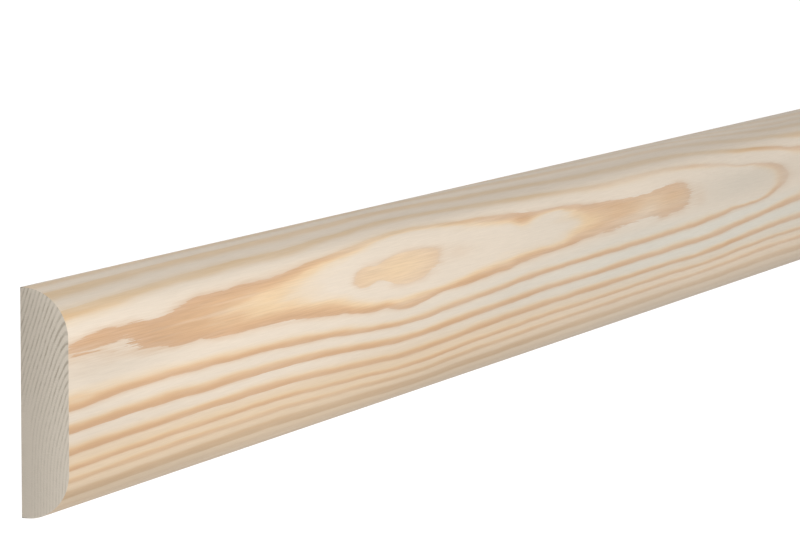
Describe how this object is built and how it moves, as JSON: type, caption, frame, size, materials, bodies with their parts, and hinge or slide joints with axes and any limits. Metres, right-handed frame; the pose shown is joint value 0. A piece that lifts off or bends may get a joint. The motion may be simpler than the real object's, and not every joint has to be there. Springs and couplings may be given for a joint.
{
  "type": "cover strip",
  "caption": "Straight cover strip of planed untreated pine with a flat back, a flat face and rounded long edges, cut square at both ends.",
  "frame": {"origin": "middle of the flat back, which the strip lies on", "axes": "+X along the strip, from the end that the picture shows towards the end that it cuts off; +Y across the width; +Z out of the face between the rounded edges"},
  "size_m": [2.2, 0.042, 0.01],
  "materials": {
    "planed_pine": "planed, untreated"
  },
  "bodies": {
    "root": {"cover_strip": "planed_pine"}
  },
  "joints": []
}
